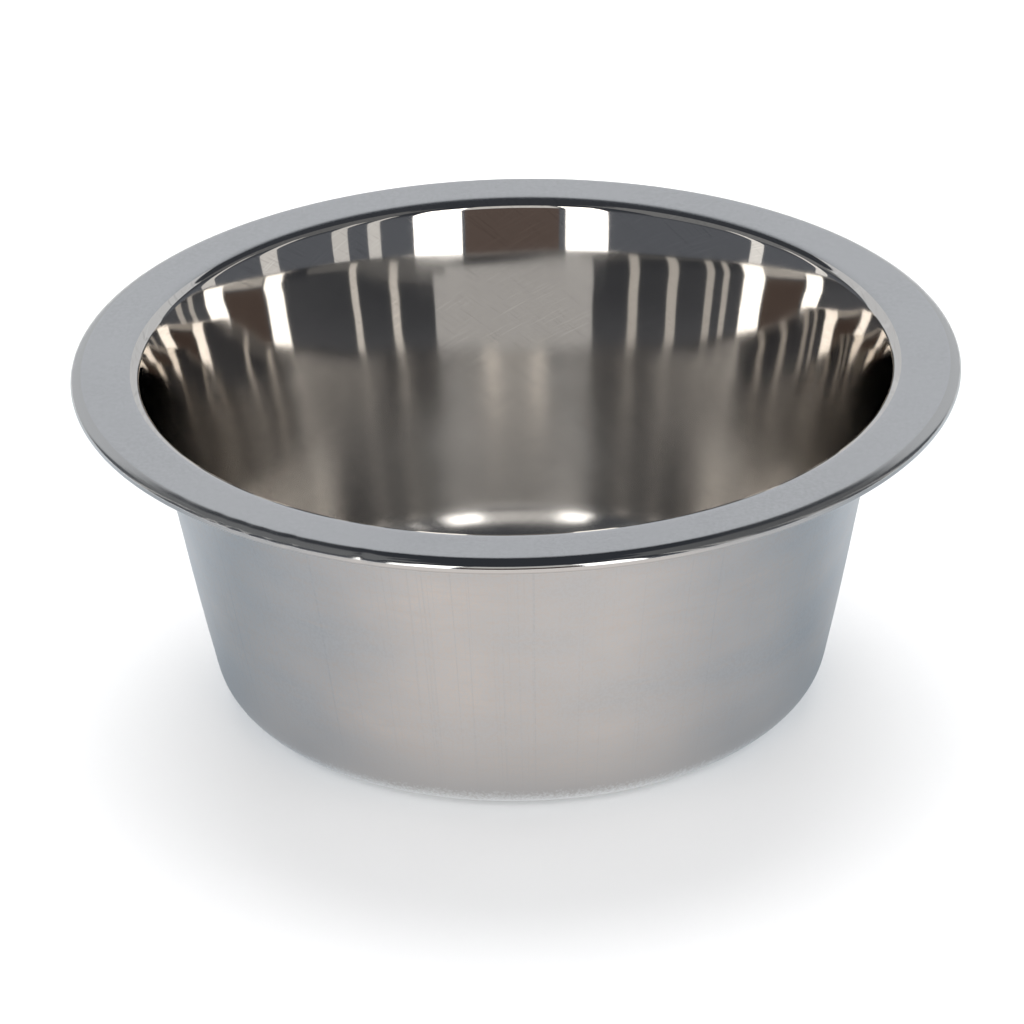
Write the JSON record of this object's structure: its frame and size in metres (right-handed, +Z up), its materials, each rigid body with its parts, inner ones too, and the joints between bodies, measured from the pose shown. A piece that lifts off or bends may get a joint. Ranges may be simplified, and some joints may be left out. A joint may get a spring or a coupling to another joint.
{
  "type": "shaving bowl",
  "caption": "Round pressed stainless steel shaving bowl with a tapered wall, rounded foot, broad satin rim and rolled edge, polished inside for whipping lather.",
  "frame": {"origin": "centre of the face the bowl stands on", "axes": "+Z up along the bowl's axis, from the standing face towards the mouth; X and Y are alike because the bowl is round"},
  "size_m": [0.12, 0.12, 0.0476],
  "materials": {
    "stainless_steel": "mirror polished inside, satin on the rim and outside"
  },
  "bodies": {
    "root": {"bowl_shell": "stainless_steel"}
  },
  "joints": []
}
